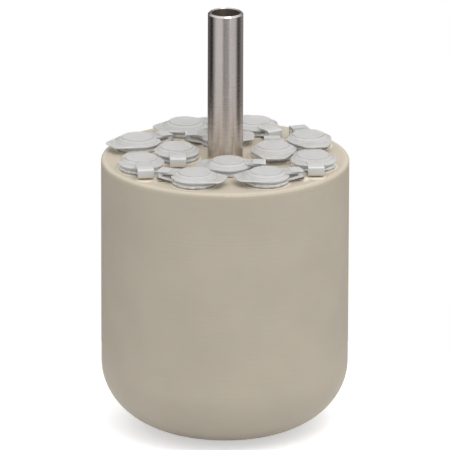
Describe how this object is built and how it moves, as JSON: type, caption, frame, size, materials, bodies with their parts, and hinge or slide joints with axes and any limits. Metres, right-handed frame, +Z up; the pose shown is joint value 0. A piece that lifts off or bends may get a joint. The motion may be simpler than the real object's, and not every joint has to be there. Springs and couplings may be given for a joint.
{
  "type": "centrifuge microtube carrier insert",
  "caption": "Round turned plastic carrier that drops into a swing-out centrifuge bucket, with a steel lift tube, loaded with closed snap-lid microtubes in two rings.",
  "frame": {"origin": "centre of the flat base that the carrier stands on", "axes": "+Z up along the carrier's axis and the lift handle, -Y towards the plain front of the wall, +X to the right seen from the front"},
  "size_m": [0.07, 0.07, 0.1211],
  "materials": {
    "carrier_plastic": "turned solid polypropylene, pebble grey, silky",
    "handle_steel": "ground stainless steel tube",
    "tube_plastic": "natural polypropylene, translucent, smooth",
    "lid_plastic": "natural polypropylene, translucent, smooth"
  },
  "bodies": {
    "loaded_carrier": {"carrier_body": "carrier_plastic", "lift_handle": "handle_steel", "tube_outer_1": "tube_plastic", "tube_outer_2": "tube_plastic", "tube_outer_3": "tube_plastic", "tube_outer_4": "tube_plastic", "tube_outer_5": "tube_plastic", "tube_outer_6": "tube_plastic", "tube_outer_7": "tube_plastic", "tube_outer_8": "tube_plastic", "tube_inner_1": "tube_plastic", "tube_inner_2": "tube_plastic", "tube_inner_3": "tube_plastic", "tube_inner_4": "tube_plastic"},
    "lid_outer_1": {"lid_outer_1": "lid_plastic"},
    "lid_outer_2": {"lid_outer_2": "lid_plastic"},
    "lid_outer_3": {"lid_outer_3": "lid_plastic"},
    "lid_outer_4": {"lid_outer_4": "lid_plastic"},
    "lid_outer_5": {"lid_outer_5": "lid_plastic"},
    "lid_outer_6": {"lid_outer_6": "lid_plastic"},
    "lid_outer_7": {"lid_outer_7": "lid_plastic"},
    "lid_outer_8": {"lid_outer_8": "lid_plastic"},
    "lid_inner_1": {"lid_inner_1": "lid_plastic"},
    "lid_inner_2": {"lid_inner_2": "lid_plastic"},
    "lid_inner_3": {"lid_inner_3": "lid_plastic"},
    "lid_inner_4": {"lid_inner_4": "lid_plastic"}
  },
  "joints": [
    {"name": "lid_hinge_outer_1", "type": "hinge", "parent": "loaded_carrier", "child": "lid_outer_1", "pos_m": [0.02057, 0.02066, 0.0806], "axis": [-0.9511, -0.309, 0], "range_deg": [0, 120]},
    {"name": "lid_hinge_outer_2", "type": "hinge", "parent": "loaded_carrier", "child": "lid_outer_2", "pos_m": [0.01379, 0.01668, 0.0806], "axis": [0.8387, 0.5446, 0], "range_deg": [0, 105]},
    {"name": "lid_hinge_outer_3", "type": "hinge", "parent": "loaded_carrier", "child": "lid_outer_3", "pos_m": [-0.00267, 0.02747, 0.0806], "axis": [-0.4067, 0.9135, 0], "range_deg": [0, 120]},
    {"name": "lid_hinge_outer_4", "type": "hinge", "parent": "loaded_carrier", "child": "lid_outer_4", "pos_m": [-0.01659, 0.01364, 0.0806], "axis": [-0.5299, 0.848, 0], "range_deg": [0, 80]},
    {"name": "lid_hinge_outer_5", "type": "hinge", "parent": "loaded_carrier", "child": "lid_outer_5", "pos_m": [-0.02221, -0.02104, 0.0806], "axis": [0.9903, 0.1392, 0], "range_deg": [0, 75]},
    {"name": "lid_hinge_outer_6", "type": "hinge", "parent": "loaded_carrier", "child": "lid_outer_6", "pos_m": [-0.0176, -0.02147, 0.0806], "axis": [-0.342, -0.9397, 0], "range_deg": [0, 70]},
    {"name": "lid_hinge_outer_7", "type": "hinge", "parent": "loaded_carrier", "child": "lid_outer_7", "pos_m": [0.02066, -0.02057, 0.0806], "axis": [-0.309, 0.9511, 0], "range_deg": [0, 70]},
    {"name": "lid_hinge_outer_8", "type": "hinge", "parent": "loaded_carrier", "child": "lid_outer_8", "pos_m": [0.02545, -0.01816, 0.0806], "axis": [0.9976, 0.0698, 0], "range_deg": [0, 85]},
    {"name": "lid_hinge_inner_1", "type": "hinge", "parent": "loaded_carrier", "child": "lid_inner_1", "pos_m": [0.01324, 0.01047, 0.0806], "axis": [-0.9994, -0.0349, 0], "range_deg": [0, 75]},
    {"name": "lid_hinge_inner_2", "type": "hinge", "parent": "loaded_carrier", "child": "lid_inner_2", "pos_m": [-0.01048, 0.01357, 0.0806], "axis": [0, -1, 0], "range_deg": [0, 90]},
    {"name": "lid_hinge_inner_3", "type": "hinge", "parent": "loaded_carrier", "child": "lid_inner_3", "pos_m": [-0.01324, -0.01047, 0.0806], "axis": [0.9994, 0.0349, 0], "range_deg": [0, 100]},
    {"name": "lid_hinge_inner_4", "type": "hinge", "parent": "loaded_carrier", "child": "lid_inner_4", "pos_m": [0.01048, -0.01357, 0.0806], "axis": [0, 1, 0], "range_deg": [0, 80]}
  ]
}
